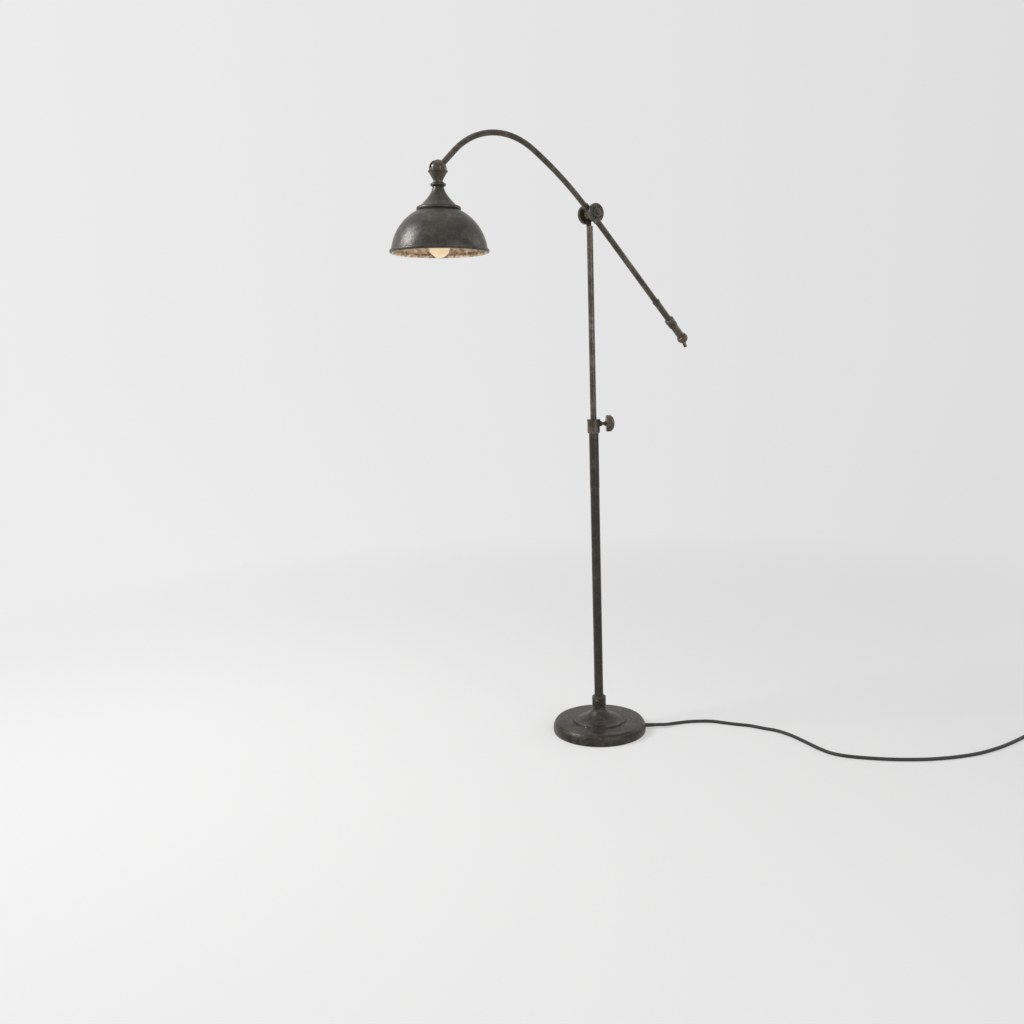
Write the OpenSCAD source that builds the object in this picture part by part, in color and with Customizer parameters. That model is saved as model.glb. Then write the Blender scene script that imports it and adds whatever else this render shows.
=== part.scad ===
// Bridge floor lamp: cast base, telescopic pole, curved arm on a pivot, ball-jointed dome shade.
// Millimetres, +Z up. The origin is the centre of the base's underside, on the floor.
// Everything above the pole's swivel is drawn in the arm's own frame: X runs from the pole towards
// the shade, Y along the pivot bolt towards its near cap, Z up. swivel_angle turns that frame.

/* [Base] */
// Diameter of the cast base at its widest
base_d = 267; // [240:1:320]
// Height of the base's rounded edge above the floor
base_edge_z = 32; // [27:0.5:35]
// Radius of the bulged side wall of the base
base_wall_r = 32; // [29:1:46]
// Radius of the edge between the side wall and the top
base_round = 4; // [2:0.5:7]
// Diameter of the raised step on the top of the base
step_d = 156; // [140:1:190]
// Height of that step
step_h = 3.5; // [2:0.5:5]
// Height of the top of the base's centre cone above the floor
cone_top = 77; // [60:1:100]
// Thickness of the felt pad under the base
pad_t = 1.5; // [1:0.25:3]
// Diameter of the wiring recess under the base
recess_d = 110; // [80:1:120]
// Depth of the wiring recess
recess_h = 18; // [14:0.5:19]
// Thickness of the steel plate that closes the recess
cover_t = 2; // [1.5:0.25:3]

/* [Pole] */
// Outer diameter of the lower tube
lower_d = 25.4; // [22:0.2:30]
// Wall of the lower tube
lower_wall = 1.6; // [1.2:0.1:2.5]
// Outer diameter of the socket that holds the lower tube
socket_d = 39.5; // [36:0.5:46]
// Height of that socket
socket_h = 29; // [24:1:40]
// Wall of the sleeve over the upper end of the lower tube
sleeve_wall = 0.5; // [0.4:0.1:1.5]
// Length of that sleeve
sleeve_len = 153; // [80:1:220]
// Height of the underside of the height clamp
clamp_z = 862; // [700:1:950]
// Diameter of the height clamp
clamp_d = 34.5; // [32:0.5:40]
// Height of the height clamp
clamp_h = 39; // [34:1:50]
// Height of the thumb screw above the clamp's underside
screw_rise = 26; // [23:0.5:28]
// Outer diameter of the upper tube
upper_d = 16.8; // [15:0.2:17]
// Wall of the upper tube
upper_wall = 1.4; // [1:0.1:2]
// Length of the upper tube below the top of the height clamp
insert_len = 260; // [160:1:300]
// Diameter of the thumb screw
screw_d = 8; // [6:0.5:9]
// Diameter of the thumb knob
knob_d = 46; // [36:1:52]
// Thickness of the thumb knob
knob_t = 24; // [16:1:28]
// Number of finger scallops round the thumb knob
knob_lobes = 12; // [8:1:16]

/* [Pivot] */
// Height of the pivot bolt above the floor
pivot_z = 1449; // [1350:1:1500]
// Direction in which the arm points, seen from above, with 0 along +X
swivel_angle = 216; // [0:1:359]
// Diameter of the pole head
head_d = 18.2; // [18:0.2:20]
// Length of the pole head below the pivot bolt
head_drop = 33; // [32:0.5:40]
// Distance of the arm's plane from the pole's axis, along the bolt
arm_off = 7; // [6:0.5:9]
// Thickness of the flat tongue on the pole head
tongue_t = 6; // [5:0.5:7]
// Width of the arm's hub, along the bolt
hub_w = 23; // [20:0.5:26]
// Diameter of the arm's hub
hub_d = 31; // [28:0.5:36]
// Diameter of the pivot bolt
bolt_d = 8; // [6:0.5:10]
// Diameter of the two round caps of the pivot
cap_d = 50; // [46:1:58]
// Thickness of the straight rim of each cap
cap_rim = 9; // [5:0.5:12]
// Height of the dome on each cap
cap_dome = 5; // [4:0.5:9]
// Thickness of each friction washer
washer_t = 0.8; // [0.5:0.1:1.5]

/* [Arm] */
// Outer diameter of the arm's tube
arm_d = 14.4; // [13.6:0.2:17]
// Outer diameter of the tail's tube
tail_d = 16; // [15:0.2:17.2]
// Wall of the arm's tubes
arm_wall = 1.4; // [1:0.1:2]
// Slope of the arm at the pivot, in degrees above level
arm_slope = 42; // [36:0.5:50]
// Slope of the tail at the pivot, in degrees below level
tail_slope = 44.2; // [38:0.2:50]
// Height of the tail's line above the pivot bolt
tail_rise = 1.8; // [0:0.1:3]
// Length of each straight socket of the hub, from the bolt
arm_straight = 45; // [38:1:60]
// Radius of the arm's first, slow bend
bend1_r = 1030; // [700:10:1300]
// Turn of the first bend, in degrees
bend1_a = 11; // [8:0.5:16]
// Radius of the arm's second bend, over the top
bend2_r = 197; // [170:1:220]
// Turn of the second bend, in degrees
bend2_a = 74.5; // [66:0.5:82]
// Straight length from the end of the second bend to the ball's centre
arm_end = 68; // [58:1:90]
// Outer diameter of the hub's two sockets
hub_socket_d = 19.6; // [19:0.2:20]
// Length of those sockets from the bolt
hub_socket_len = 29; // [27:0.5:30]
// Distance of the small ring on the tail from the bolt
ring_s = 327; // [250:1:350]
// Distance of the switch housing from the bolt
switch_s = 399; // [390:1:480]

/* [Switch] */
// Length of the switch's front collar
collar_len = 29; // [20:1:40]
// Diameter of that collar
collar_d = 27; // [25:0.5:32]
// Length of the switch's barrel
barrel_len = 41; // [36:1:70]
// Diameter of the switch's barrel
barrel_d = 21.4; // [20.4:0.2:24]
// Length of the switch's turning key
key_len = 30; // [28:1:40]
// Diameter of the key's flared rim
key_d = 31; // [28:1:34]
// Distance between the middles of the key's two lobes
key_span = 34; // [26:1:38]
// Turn of the key's lobes about the tail, in degrees
key_turn = -32; // [-90:1:90]

/* [Shade joint] */
// Lean of the hanging shade away from the pole, in degrees
shade_lean = 0.9; // [0:0.1:10]
// Lean of the hanging shade along the pivot bolt, in degrees
side_lean = 0.9; // [-2:0.1:2]
// Diameter of the slotted ball
ball_d = 42.5; // [40:0.5:46]
// Thickness of the tongue inside the ball
ball_tongue = 10; // [8:0.5:12]
// Diameter of the screw through the ball
ball_screw_d = 6; // [5:0.5:8]
// Diameter of the cup's flared rim
cup_d = 48.8; // [46:0.2:54]
// Diameter of the cup's neck
neck_d = 22.4; // [21:0.2:26]
// Drop from the ball's centre to the top of the ring under the cup
ring_drop = 32; // [30:0.5:40]
// Diameter of that ring
neck_ring_d = 37.6; // [34:0.2:42]
// Height of that ring
neck_ring_h = 9; // [7:0.5:12]

/* [Shade] */
// Outer radius of the shade's dome
dome_r = 117; // [112:1:130]
// Height of the shade's rim above the centre of the dome
rim_up = 10.2; // [0:0.5:14]
// Sheet thickness of the shade
shade_t = 1.2; // [0.8:0.1:2]
// Diameter of the rolled bead at the shade's rim
bead_d = 10; // [8:0.5:14]
// Diameter of the fitter where it meets the shade
fitter_d = 107.5; // [90:0.5:116]
// Height of the fitter, from the ring to its seat on the shade
fitter_h = 54.6; // [48:0.1:60]
// Wall of the fitter
fitter_t = 2; // [1.5:0.1:3]
// Diameter of the lamp socket
lamp_socket_d = 38; // [36:0.5:40]
// Length of the lamp socket
lamp_socket_len = 62; // [54:1:64]
// Diameter of the bulb
bulb_d = 50; // [45:1:60]
// Drop of the bulb's lowest point below the centre of the dome
bulb_drop = 5; // [3:0.5:14]

/* [Cord] */
// Diameter of the mains cord
cord_d = 9.5; // [8:0.5:10]
// Diameter of the inner lead
lead_d = 6.5; // [5:0.5:6.5]
// Height of the cord's outlet above the floor
outlet_z = 9.5; // [9.5:0.5:14]
// Length of the tapered strain relief outside the base
relief_len = 24; // [20:1:60]
// Turns of the coil in each of its two layers
coil_turns = 2; // [1:1:3]
// Gap between neighbouring turns of the coil
coil_gap = 1; // [0.8:0.1:2]
// Radius of the coil's outermost turn, at the cord's middle
coil_r = 62; // [60:1:80]
// Diameter of the plug's body
plug_d = 30; // [28:1:34]
// Length of the plug's body
plug_len = 38; // [34:1:50]

/* [Hidden] */

$fn = 72;

iron = [0.27, 0.26, 0.24];
bronze = [0.32, 0.29, 0.26];
steel = [0.55, 0.55, 0.56];
brass = [0.72, 0.58, 0.32];
black = [0.12, 0.12, 0.12];
felt = [0.2, 0.2, 0.2];
nylon = [0.85, 0.84, 0.8];
ceramic = [0.93, 0.92, 0.88];
warm_glass = [1, 0.86, 0.62];

// Clearances
run_fit = 0.05;   // radial, between a turning or sliding piece and its bore
push_fit = 0.05;  // radial, between pieces that are fixed together
seat = 0.1;       // between flat faces that slide on each other
eps = 0.01;       // overlap of cutting solids past a face

// Base
base_r = base_d / 2;
base_wall_z = 9.5;                       // height of the widest point of the base
step_r = step_d / 2;
recess_r = recess_d / 2;
rebate = 8;                              // how far the cover plate reaches past the recess
nipple_d = lead_d + 5.5;
nipple_bore = lead_d + 0.6;
nut_h = 6;
nut_af = nipple_d + 8;
washer_h = 2;
socket_r = socket_d / 2;
socket_web = 7;                          // floor of the socket, under the tube
recess_top = pad_t + recess_h;
band_z = base_edge_z + 1.5;              // top of the base just outside the step
cone_foot_z = band_z + step_h + 0.7;
cone_foot_r = step_r - 16;
cone_neck_r = socket_r - 1.5;            // neck of the cone under the socket

// Pole
lower_r = lower_d / 2;
lower_ri = lower_r - lower_wall;
sleeve_r = lower_r + push_fit + sleeve_wall;
upper_r = upper_d / 2;
upper_ri = upper_r - upper_wall;
clamp_r = clamp_d / 2;
clamp_top = clamp_z + clamp_h;
clamp_seat = 18;                         // length of the lower tube inside the clamp
screw_z = clamp_z + screw_rise;
screw_r = screw_d / 2;
boss_x = clamp_r + 6.5;                  // end of the clamp's screw boss
knob_x = clamp_r + 17.25;                // back of the thumb knob
pad_x = upper_r + 0.2;                   // tip of the clamp pad
pad_len = 4;
upper_bottom = clamp_top - insert_len;
bush_h = 24;

// Pivot
head_r = head_d / 2;
tongue_y = -head_r + tongue_t;           // near face of the pole head's tongue
hub_y0 = tongue_y + washer_t + 2 * seat; // far face of the arm's hub
hub_y1 = hub_y0 + hub_w;
near_y = hub_y1 + washer_t + 2 * seat;   // inner face of the near cap
cap_boss = 2.2;                          // boss that spaces the far cap from the head
far_y = -head_r - 0.3 - cap_boss;        // inner face of the far cap
bolt_r = bolt_d / 2;
cap_r = cap_d / 2;
hub_r = hub_d / 2;
head_spigot = 34;                        // length of the head inside the upper tube
flat_drop = head_drop - 1.5;             // the milled flat reaches this far below the bolt

// Arm
arm_r = arm_d / 2;
arm_ri = arm_r - arm_wall;
tail_r = tail_d / 2;
joint_thin = 0.05;                       // step in the wall where two lengths of the arm join
joint_len = 1;                           // overlap of those lengths
arm_in = 17;                             // distance of the tubes' ends from the bolt
hub_socket_r = hub_socket_d / 2;
slope1 = arm_slope - bend1_a;            // slope where the second bend starts
slope2 = slope1 - bend2_a;               // slope where the arm runs into the ball
p1 = arm_straight * [cos(arm_slope), sin(arm_slope)];
c1 = p1 + bend1_r * [sin(arm_slope), -cos(arm_slope)];
p2 = c1 + bend1_r * [-sin(slope1), cos(slope1)];
c2 = p2 + bend2_r * [sin(slope1), -cos(slope1)];
p3 = c2 + bend2_r * [-sin(slope2), cos(slope2)];
ball_c = p3 + arm_end * [cos(slope2), sin(slope2)];
ball_r = ball_d / 2;
end_gap = 0.4;                           // between the ball and the plug in the arm's end
end_show = 6;                            // length of that plug outside the tube
end_plug = 16;                           // length of that plug inside the tube
tail_end = switch_s + collar_len - 4;    // end of the tail tube inside the switch

// Shade joint, measured from the ball's centre
tongue_r = ball_r * 0.66;
nipple_r = 5;                            // hollow nipple that the shade hangs from and turns on
ring_z = -ring_drop;
cup_floor = -ball_r - 3.1;               // floor of the cup's hollow, under the nipple's head
fitter_top = ring_z - neck_ring_h;
fitter_seat = fitter_top - fitter_h;
dome_drop = sqrt(pow(dome_r, 2) - pow(fitter_d / 2 - 2, 2)) - fitter_seat;
boss_h = 7;                              // solid top of the fitter
nut_z = fitter_top - boss_h;

fitter_neck_r = 13.4;

// Shade, measured from the dome's centre
socket_hole_r = lamp_socket_d / 2 + 0.3;
dome_ri = dome_r - shade_t;
bead_r = bead_d / 2;
socket_top = sqrt(pow(dome_ri, 2) - pow(socket_hole_r, 2)) + 18;
socket_low = socket_top - lamp_socket_len;
bulb_r = bulb_d / 2;
bulb_c = bulb_r - bulb_drop;
bulb_neck_r = 12.6;

// Cord
cord_r = cord_d / 2;
run_x0 = base_r + relief_len;
relief_r = cord_r + 1.1;                 // strain relief in the wall of the base
cord_gap = 0.15;                         // between the lengths of the cord where they meet
coil_step = cord_d + coil_gap;
// Hand-chosen route of the cord on the floor, x and y, from the strain relief to the coil
route_floor = [[245, 24], [285, 29], [330, 25], [362, 11], [396, -5], [432, -19], [467, -43],
               [499, -64], [526, -98], [550, -144], [572, -192], [596, -230], [628, -253],
               [675, -270], [735, -284], [800, -291], [860, -290], [920, -281], [980, -264],
               [1040, -236], [1090, -206], [1140, -171]];
route_z = cord_r;
coil_in = [1200, -126];                  // where the coil's first turn starts
coil_dir = [0.8, 0.6];                   // direction of the cord there
run_drop = [[run_x0, 0, outlet_z], [run_x0 + 16, 0, outlet_z], [run_x0 + 34, 2, outlet_z - 1],
            [run_x0 + 58, 12, cord_r + 2]];

// ---------- helpers ----------

function arc(c, r, a0, a1, n = 8) =
    [for (i = [0:n]) let (a = a0 + (a1 - a0) * i / n) [c[0] + r * cos(a), c[1] + r * sin(a)]];

function unit(v) = v / norm(v);

// A point on a Catmull-Rom curve through four points
function spline(p, i, t) =
    let (a = p[max(i - 1, 0)], b = p[i], c = p[i + 1], d = p[min(i + 2, len(p) - 1)])
    0.5 * (2 * b + (c - a) * t + (2 * a - 5 * b + 4 * c - d) * t * t
           + (3 * b - a - 3 * c + d) * t * t * t);

function curve(p, n) = [for (i = [0:len(p) - 2], k = [0:n - 1]) spline(p, i, k / n), p[len(p) - 1]];

function tangent(p, i) = unit(p[min(i + 1, len(p) - 1)] - p[max(i - 1, 0)]);

// One ring of points round the path at point i, square to it
function ring(p, i, r, sides) =
    let (t = tangent(p, i), s = unit(cross(t, [0, 0, 1])), u = cross(s, t))
    [for (k = [0:sides - 1]) let (a = 90 + 360 * k / sides) p[i] + r * (cos(a) * s + sin(a) * u)];

// A tube swept along a path, as triangles, with flat ends
module swept(p, r, sides) {
    rings = len(p);
    pts = [for (i = [0:rings - 1]) each ring(p, i, r, sides)];
    walls = [for (i = [0:rings - 2], k = [0:sides - 1])
        let (a = i * sides + k, b = i * sides + (k + 1) % sides)
        each [[a, b, a + sides], [b, b + sides, a + sides]]];
    cap0 = [for (k = [1:sides - 2]) [0, k + 1, k]];
    cap1 = [for (k = [1:sides - 2]) let (e = (rings - 1) * sides) [e, e + k, e + k + 1]];
    polyhedron(points = pts, faces = concat(walls, cap0, cap1), convexity = 10);
}

module tube(r, ri, z0, z1) {
    translate([0, 0, z0]) difference() {
        cylinder(r = r, h = z1 - z0);
        translate([0, 0, -eps]) cylinder(r = ri, h = z1 - z0 + 2 * eps);
    }
}

// A cylinder along +Y, from y0 to y1
module rod_y(r, y0, y1) {
    translate([0, y0, 0]) rotate([-90, 0, 0]) cylinder(r = r, h = y1 - y0);
}

// A cylinder along +X, from x0 to x1
module rod_x(r, x0, x1) {
    translate([x0, 0, 0]) rotate([0, 90, 0]) cylinder(r = r, h = x1 - x0);
}

// The arm's frame, with its origin on the pivot bolt at the pole's axis
module in_arm() {
    translate([0, 0, pivot_z]) rotate([0, 0, swivel_angle]) children();
}

// The tail's frame: +Z runs down the tail from the bolt
module in_tail() {
    in_arm() in_hub_tail() children();
}

module at_ball() {
    in_arm() translate([ball_c[0], arm_off, ball_c[1]]) children();
}

// The ball's frame, with its origin at the ball's centre and the shade hanging down its -Z
module in_ball() {
    at_ball() rotate([0, -shade_lean, 0]) children();
}

// The cup sits on the round of the ball a little askew, and all that hangs under it follows
module in_cup() {
    in_ball() rotate([-side_lean, 0, 0]) children();
}

module in_dome() {
    in_cup() translate([0, 0, -dome_drop]) children();
}

// ---------- base ----------

module base_profile() {
    a0 = -asin((base_wall_z - pad_t) / base_wall_r);
    a1 = asin((base_edge_z - base_round - base_wall_z) / (base_wall_r - base_round));
    wall_c = [base_r - base_wall_r, base_wall_z];
    round_c = wall_c + (base_wall_r - base_round) * [cos(a1), sin(a1)];
    f = step_h * 0.45;
    cone = [for (t = [0:0.1:1])
        [cone_neck_r + (cone_foot_r - cone_neck_r) * pow(1 - t, 3),
         cone_foot_z + (cone_top - cone_foot_z) * t]];
    polygon(concat(
        [[0, pad_t]],
        arc(wall_c, base_wall_r, a0, a1, 8),
        arc(round_c, base_round, a1, 90, 4),
        arc([step_r + f, band_z + f], f, 270, 180, 3),
        arc([step_r - f, band_z + step_h - f], f, 0, 90, 3),
        cone,
        [[0, cone_top]]));
}

module base_casting() {
    color(iron) difference() {
        rotate_extrude() base_profile();
        translate([0, 0, pad_t - eps]) cylinder(r = recess_r, h = recess_h + eps);
        translate([0, 0, pad_t - eps]) cylinder(r = recess_r + rebate, h = cover_t + eps);
        cylinder(r = nipple_d / 2 + 0.15, h = cone_top + 1);
        translate([0, 0, outlet_z]) rod_x(relief_r + 0.1, recess_r - 2, base_r + 2);
        cover_screw_places() cylinder(r = 2.05, h = 14);
    }
}

module cover_screw_places() {
    for (a = [90:120:330])
        rotate([0, 0, a]) translate([recess_r + rebate / 2, 0, pad_t]) children();
}

module felt_pad() {
    color(felt) cylinder(r = base_r - 4, h = pad_t);
}

module bottom_cover() {
    color(steel) difference() {
        translate([0, 0, pad_t]) cylinder(r = recess_r + rebate - 0.2, h = cover_t);
        cover_screw_places() translate([0, 0, -eps]) cylinder(r = 2.2, h = cover_t + 1);
    }
}

module cover_screws() {
    color(steel) cover_screw_places() translate([0, 0, 0.05]) cylinder(r = 2, h = 10);
}

module base_socket() {
    color(bronze) translate([0, 0, cone_top]) difference() {
        rotate_extrude() polygon(concat(
            [[0, 0], [socket_r, 0], [socket_r, socket_h - 5]],
            arc([socket_r - 3, socket_h - 5], 3, 0, 60, 3),
            [[lower_r + 1, socket_h], [0, socket_h]]));
        translate([0, 0, socket_web]) cylinder(r = lower_r + push_fit, h = socket_h);
        translate([0, 0, -1]) cylinder(r = nipple_d / 2 + push_fit, h = socket_web + 2);
        socket_screw_place() cylinder(r = 3.55, h = socket_r);
        socket_screw_place() translate([0, 0, socket_r - 0.9]) cylinder(r = 5.4, h = 5);
    }
}

module socket_screw_place() {
    translate([0, 0, socket_h * 0.55]) rotate([0, 0, 247]) rotate([0, 90, 0]) children();
}

module socket_screw() {
    color(steel) translate([0, 0, cone_top]) socket_screw_place() {
        translate([0, 0, lower_r + 0.1]) cylinder(r = 3.5, h = socket_r - lower_r);
        translate([0, 0, socket_r - 0.85]) intersection() {
            cylinder(r = 5.2, h = 4);
            translate([0, 0, -3]) sphere(r = 6.5);
        }
    }
}

module base_nipple() {
    color(steel) tube(nipple_d / 2, nipple_bore / 2, recess_top - washer_h - nut_h - 0.5,
                      cone_top + socket_web - 0.5);
}

module nipple_washer() {
    color(steel) tube(15, nipple_d / 2 + 0.15, recess_top - washer_h, recess_top);
}

module nipple_nut() {
    color(steel) translate([0, 0, recess_top - washer_h - nut_h]) difference() {
        cylinder(r = nut_af / sqrt(3), h = nut_h, $fn = 6);
        translate([0, 0, -1]) cylinder(r = nipple_d / 2 + push_fit, h = nut_h + 2);
    }
}

// ---------- lower pole and height clamp ----------

module lower_tube() {
    color(bronze) tube(lower_r, lower_ri, cone_top + socket_web, clamp_z + clamp_seat);
}

module pole_sleeve() {
    color(bronze) tube(sleeve_r, lower_r + push_fit, clamp_z - sleeve_len, clamp_z);
}

module clamp_collar() {
    color(bronze) difference() {
        union() {
            rotate_extrude() polygon(concat(
                [[0, clamp_z], [clamp_r - 2, clamp_z], [clamp_r, clamp_z + 2.5],
                 [clamp_r, clamp_top - 5.5]],
                arc([clamp_r - 0.6, clamp_top - 2.4], 2.4, -60, 75, 5),
                [[upper_r + 2.5, clamp_top], [0, clamp_top]]));
            intersection() {
                translate([0, 0, screw_z]) union() {
                    rotate([0, 90, 0]) translate([0, 0, clamp_r - 4])
                        cylinder(r1 = clamp_top - screw_z, r2 = 6.5, h = boss_x - clamp_r + 2);
                    rod_x(6.5, clamp_r - 4, boss_x);
                }
                translate([0, -clamp_r, screw_z - 7.5]) cube([boss_x + 1, clamp_d, clamp_h]);
            }
        }
        translate([0, 0, clamp_z - 1]) cylinder(r = lower_r + push_fit, h = clamp_seat + 1);
        translate([0, 0, clamp_z]) cylinder(r = upper_r + run_fit, h = clamp_h + 1);
        translate([0, 0, screw_z]) rod_x(screw_r + run_fit, 0, boss_x + 1);
    }
}

module clamp_pad() {
    color(brass) translate([0, 0, screw_z]) rod_x(screw_r - 0.2, pad_x, pad_x + pad_len);
}

module clamp_screw() {
    color(steel) translate([0, 0, screw_z]) rod_x(screw_r, pad_x + pad_len + 0.02, knob_x + 8);
}

module clamp_knob() {
    knob_r = knob_d / 2;
    color(bronze) translate([0, 0, screw_z]) difference() {
        rotate([0, 90, 0]) translate([0, 0, knob_x]) rotate_extrude() polygon(concat(
            [[screw_r + push_fit, -7.5], [screw_r + 1.2, -7.5]],
            arc([screw_r + 7.7, -7], 6.5, 180, 95, 5),
            [[screw_r + 9, 0]],
            arc([knob_r - 2.5, 2.5], 2.5, -90, 0, 4),
            [[knob_r, 9]],
            [for (t = [0.1:0.1:0.9]) [knob_r * cos(90 * t), 9 + (knob_t - 9) * sin(90 * t)]],
            [[0, knob_t], [0, 8 + push_fit], [screw_r + push_fit, 8 + push_fit]]));
        for (i = [0:knob_lobes - 1])
            rotate([360 * i / knob_lobes, 0, 0]) translate([knob_x, 0, knob_r + 2.6])
                rod_x(4, -1, knob_t + 1);
    }
}

// ---------- cord ----------

module strain_relief() {
    color(black) translate([0, 0, outlet_z]) difference() {
        union() {
            rod_x(relief_r, base_r - 24, base_r - 4);
            rotate([0, 90, 0]) translate([0, 0, base_r - 4])
                cylinder(r1 = relief_r, r2 = cord_r + 0.4, h = relief_len + 4);
        }
        rod_x(cord_r + 0.1, base_r - 25, base_r + relief_len + 1);
    }
}

// The outer cord ends inside the base; its inner lead dips under the nipple and turns up the pole
module base_lead() {
    low_z = pad_t + cover_t + lead_d / 2 + 0.3;
    x0 = recess_r - 12;
    x1 = x0 - 16;
    color(black) {
        translate([0, 0, outlet_z]) rod_x(cord_r, x0, run_x0 - cord_gap);
        translate([0, 0, low_z]) rod_x(lead_d / 2, lead_d / 2 + 0.1, x1);
        translate([x1, 0, low_z]) sphere(r = lead_d / 2 + 0.15);
        translate([x1, 0, low_z]) rotate([0, atan2(x0 + 3 - x1, outlet_z - low_z), 0])
            cylinder(r = lead_d / 2 - 0.05, h = norm([x0 + 3 - x1, outlet_z - low_z]));
    }
}

module pole_lead() {
    color(black) translate([0, 0, pad_t + cover_t + 0.3])
        cylinder(r = lead_d / 2, h = upper_bottom + 180);
}

// The cord from the strain relief to the coil, kept above the floor
function run_points() =
    let (c = [coil_in[0], coil_in[1]],
         floor_pts = [for (p = route_floor) [p[0], p[1], route_z]],
         end = [[c[0] - coil_dir[0] * 16, c[1] - coil_dir[1] * 16, route_z],
                [c[0], c[1], route_z]])
    [for (p = curve(concat(run_drop, floor_pts, end), 2)) [p[0], p[1], max(p[2], route_z)]];

module cord_run() {
    color(black) swept(run_points(), cord_r, 8);
}

// The coil spirals in on the floor, climbs in half a turn, and spirals out again on top
coil_n = 24;
coil_z2 = route_z + coil_step;
coil_a0 = atan2(coil_dir[0], -coil_dir[1]);
coil_c = coil_in + coil_dir * cord_d + coil_r * [coil_dir[1], -coil_dir[0]];
coil_total = 2 * coil_turns + 0.5;

function coil_radius(t) = coil_r - coil_step * min(t, coil_total - t);

function coil_height(t) =
    let (s = min(max((t - coil_turns) / 0.5, 0), 1))
    route_z + coil_step * (0.5 - 0.5 * cos(180 * s));

function coil_point(t) =
    let (a = coil_a0 - 360 * t, r = coil_radius(t))
    [coil_c[0] + r * cos(a), coil_c[1] + r * sin(a), coil_height(t)];

coil_loop = [for (i = [0:coil_n * coil_total]) coil_point(i / coil_n)];
coil_last = coil_loop[len(coil_loop) - 1];
coil_out = [-coil_dir[0], -coil_dir[1], 0];
tail_len = 62;                           // straight cord between the coil and the plug
plug_at = [coil_last[0], coil_last[1], 0] + coil_out * tail_len + [0, 0, plug_d / 2];
coil_path = concat(
    [[coil_in[0] + coil_dir[0] * cord_gap, coil_in[1] + coil_dir[1] * cord_gap, route_z],
     [coil_in[0] + coil_dir[0] * cord_d, coil_in[1] + coil_dir[1] * cord_d, route_z]],
    [for (i = [1:len(coil_loop) - 1]) coil_loop[i]],
    [for (k = [1:3]) let (s = k / 3)
        [coil_last[0] + coil_out[0] * (tail_len - cord_d) * s,
         coil_last[1] + coil_out[1] * (tail_len - cord_d) * s,
         coil_z2 + (plug_d / 2 - coil_z2) * s]],
    [plug_at - coil_out * cord_gap]);

// Least gap of the coil to itself, on points at least a third of a turn apart
coil_gaps = [for (i = [0:len(coil_loop) - 1], j = [0:len(coil_loop) - 1])
    if (j - i > coil_n / 3) norm(coil_loop[i] - coil_loop[j]) - cord_d];
echo(coil_least_gap = min(coil_gaps));

function path_len(p, i = 0) =
    i >= len(p) - 1 ? 0 : norm(p[i + 1] - p[i]) + path_len(p, i + 1);
echo(cord_length = path_len(run_points()) + path_len(coil_path));

module cord_coil() {
    color(black) swept(coil_path, cord_r, 6);
}

// The plug's frame: +Z runs from the cord out along the plug
module in_plug() {
    translate(plug_at) rotate([0, 0, atan2(coil_out[1], coil_out[0])]) rotate([0, 90, 0])
        children();
}

module plug_body() {
    plug_r = plug_d / 2;
    color(black) in_plug() rotate_extrude() polygon(concat(
        [[0, 0], [cord_r + 1.5, 0], [cord_r + 3, 12]],
        arc([plug_r - 4, 16], 4, -80, 0, 4),
        [[plug_r, plug_len - 3], [plug_r - 2, plug_len], [0, plug_len]]));
}

module plug_blades() {
    color(brass) in_plug() translate([0, 0, plug_len]) {
        for (y = [-6.35, 6.35]) translate([-6.3, y - 0.75, 0]) cube([6.3, 1.5, 17]);
        translate([7.5, 0, 0]) cylinder(r = 2.4, h = 18);
    }
}

// ---------- upper pole ----------

module guide_bush() {
    color(nylon) difference() {
        union() {
            translate([0, 0, upper_bottom - bush_h - seat])
                cylinder(r = lower_ri - run_fit, h = bush_h);
            translate([0, 0, upper_bottom - bush_h]) cylinder(r = upper_ri - run_fit, h = bush_h + 14);
        }
        translate([0, 0, upper_bottom - bush_h - 1]) cylinder(r = lead_d / 2 + 0.4, h = bush_h + 18);
    }
}

module upper_tube() {
    color(bronze) tube(upper_r, upper_ri, upper_bottom, pivot_z - head_drop);
}

// The head is a round post, milled to a flat tongue for the arm's hub, with a spigot in the tube
module pole_head() {
    color(bronze) in_arm() difference() {
        union() {
            rotate_extrude() polygon(concat(
                [[0, -head_drop - head_spigot], [upper_ri - push_fit - 1, -head_drop - head_spigot],
                 [upper_ri - push_fit, -head_drop - head_spigot + 1],
                 [upper_ri - push_fit, -head_drop], [upper_r, -head_drop],
                 [head_r, -head_drop + 3], [head_r, 3]],
                arc([0, 3], head_r, 15, 90, 6)));
        }
        translate([-head_d, tongue_y, -flat_drop]) cube([2 * head_d, head_d, head_drop + head_d]);
        translate([0, 0, -head_drop - head_spigot - 1]) cylinder(r = lead_d / 2 + 0.4,
                                                                 h = head_spigot);
        rod_y(bolt_r + push_fit, -head_d, head_d);
    }
}

// One cap of the pivot: a rim, a flat ring, a groove and a small dome, with its bolt hole
cap_groove_r = cap_r * 0.6;
cap_top = sin(90 * 0.61);                // where the dome's curve is cut off at its top

module pivot_cap() {
    rotate([-90, 0, 0]) rotate_extrude() polygon(concat(
        [[bolt_r + push_fit, 0], [cap_r - 1, 0], [cap_r, 1], [cap_r, cap_rim - 2]],
        arc([cap_r - 2, cap_rim - 2], 2, 0, 90, 4),
        [[cap_groove_r + 2, cap_rim - 0.4], [cap_groove_r + 1.2, cap_rim - 1.8],
         [cap_groove_r - 0.4, cap_rim - 1.8]],
        [for (t = [0.05:0.14:0.61]) [(cap_groove_r - 1) * cos(90 * t),
                                    cap_rim - 1.2 + (cap_dome + 1.2) * sin(90 * t) / cap_top]],
        [[bolt_r + push_fit, cap_rim + cap_dome]]));
}

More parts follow.
